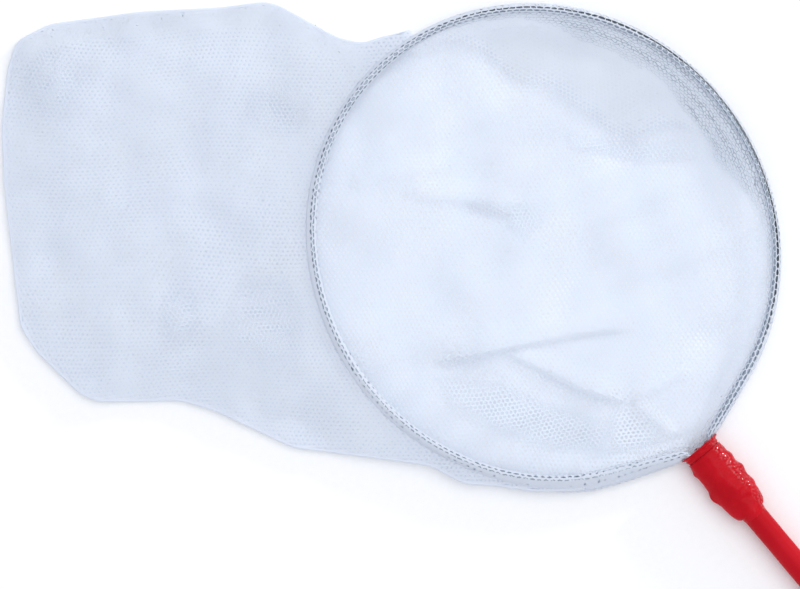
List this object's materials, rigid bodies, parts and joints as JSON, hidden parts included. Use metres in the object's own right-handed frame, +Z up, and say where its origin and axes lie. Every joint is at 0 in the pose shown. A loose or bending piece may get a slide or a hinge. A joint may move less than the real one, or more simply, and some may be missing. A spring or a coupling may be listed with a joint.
{
  "type": "pond dipping net",
  "caption": "Hand net for pond dipping: a wire hoop with a loose bag of fine white netting sewn round it, and a straight red handle that the hoop's bent ends are bound to.",
  "frame": {"origin": "On the ground under the middle of the hoop, on the handle's line", "axes": "+X along the handle away from the hoop, +Z up out of the bag's mouth"},
  "size_m": [0.9989, 0.3711, 0.0152],
  "materials": {
    "galvanised_wire": "dull galvanised",
    "tube_steel": "plain drawn",
    "red_skin": "glossy",
    "netting": "matt knitted mesh"
  },
  "bodies": {
    "root": {"hoop_wire": "galvanised_wire", "tang_binding": "galvanised_wire", "handle_tube": "tube_steel", "handle_coating": "red_skin", "handle_end_cap": "red_skin", "joint_sleeve": "red_skin", "neck_tape": "red_skin", "rim_hem": "netting", "net_lower_panel": "netting", "net_upper_panel": "netting", "bag_seam": "netting"}
  },
  "joints": []
}
